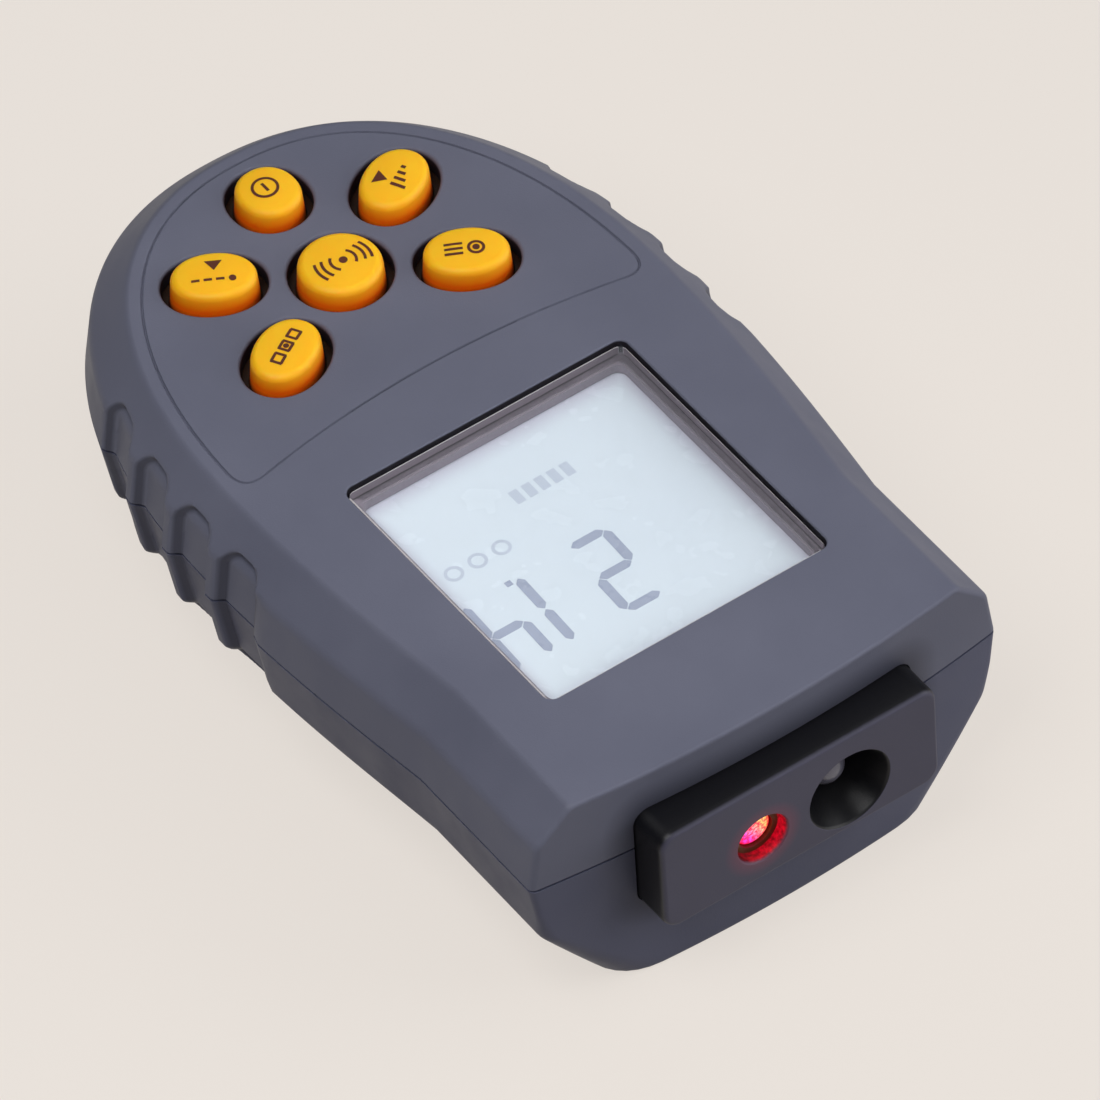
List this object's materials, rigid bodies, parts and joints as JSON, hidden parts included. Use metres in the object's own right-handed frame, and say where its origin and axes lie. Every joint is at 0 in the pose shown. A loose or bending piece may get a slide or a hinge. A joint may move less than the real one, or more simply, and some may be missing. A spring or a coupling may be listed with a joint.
{
  "type": "laser tachometer",
  "caption": "Hand-held optical tachometer: two-shell grip case with display window, rubber keys, laser and receiver in the nose, sliding battery door.",
  "frame": {"origin": "under the middle of the object's box, on the plane of its flat back", "axes": "+Z out of the display and keys, +Y toward the nose with the laser, +X to the right of a reader when the nose points away"},
  "size_m": [0.069, 0.1146, 0.0338],
  "materials": {
    "front_shell": "fine matt texture",
    "rear_shell": "fine matt texture",
    "door": "fine matt texture",
    "sensor_block": "smooth matt",
    "key_rubber": "satin silicone",
    "mat_rubber": "satin silicone",
    "carbon": "matt",
    "window": "clear",
    "tape": "matt",
    "lcd_glass": "clear",
    "reflector": "satin",
    "white_plastic": "matt",
    "black_plastic": "matt",
    "board": "solder mask",
    "chip": "matt",
    "can_metal": "satin",
    "capacitor_sleeve": "gloss",
    "barrel_brass": "turned",
    "laser_glass": "clear",
    "diode_epoxy": "clear",
    "battery_jacket": "satin",
    "terminal_metal": "bright",
    "lead_red": "satin",
    "lead_black": "satin",
    "foam": "foam",
    "screw_steel": "zinc plated"
  },
  "bodies": {
    "case": {"top_case": "front_shell", "bottom_case": "rear_shell", "sensor_block": "sensor_block", "laser_barrel": "barrel_brass", "laser_lens": "laser_glass", "laser_diode": "can_metal", "receiver_diode": "diode_epoxy", "sensor_board": "board", "window_lens": "window", "window_tape": "tape", "lcd_front_glass": "lcd_glass", "lcd_rear_glass": "lcd_glass", "lcd_reflector": "reflector", "lcd_frame": "white_plastic", "zebra_strips": "carbon", "main_board": "board", "microcontroller": "chip", "crystal": "can_metal", "capacitors": "capacitor_sleeve", "regulator": "chip", "resistors": "chip", "board_header": "black_plastic", "key_pads": "carbon", "keypad_mat": "mat_rubber", "battery": "battery_jacket", "battery_terminals": "terminal_metal", "battery_snap": "black_plastic", "lead_red": "lead_red", "lead_black": "lead_black", "battery_pad": "foam", "case_screws": "screw_steel", "board_screws": "screw_steel"},
    "battery_door": {"battery_door": "door"},
    "measure_key": {"measure_key": "key_rubber", "measure_pill": "carbon"},
    "power_key": {"power_key": "key_rubber", "power_pill": "carbon"},
    "mode_key": {"mode_key": "key_rubber", "mode_pill": "carbon"},
    "beam_key": {"beam_key": "key_rubber", "beam_pill": "carbon"},
    "store_key": {"store_key": "key_rubber", "store_pill": "carbon"},
    "peak_key": {"peak_key": "key_rubber", "peak_pill": "carbon"}
  },
  "joints": [
    {"name": "door_slide", "type": "slide", "parent": "case", "child": "battery_door", "axis": [0, -1, 0], "range_m": [0, 0.04]},
    {"name": "measure_press", "type": "slide", "parent": "case", "child": "measure_key", "axis": [0, 0, -1], "range_m": [0, 0.0012], "stiffness_N_per_m": 1200, "springref_m": -0.0003},
    {"name": "power_press", "type": "slide", "parent": "case", "child": "power_key", "axis": [0, 0, -1], "range_m": [0, 0.0012], "stiffness_N_per_m": 1200, "springref_m": -0.0003},
    {"name": "mode_press", "type": "slide", "parent": "case", "child": "mode_key", "axis": [0, 0, -1], "range_m": [0, 0.0012], "stiffness_N_per_m": 1200, "springref_m": -0.0003},
    {"name": "beam_press", "type": "slide", "parent": "case", "child": "beam_key", "axis": [0, 0, -1], "range_m": [0, 0.0012], "stiffness_N_per_m": 1200, "springref_m": -0.0003},
    {"name": "store_press", "type": "slide", "parent": "case", "child": "store_key", "axis": [0, 0, -1], "range_m": [0, 0.0012], "stiffness_N_per_m": 1200, "springref_m": -0.0003},
    {"name": "peak_press", "type": "slide", "parent": "case", "child": "peak_key", "axis": [0, 0, -1], "range_m": [0, 0.0012], "stiffness_N_per_m": 1200, "springref_m": -0.0003}
  ]
}
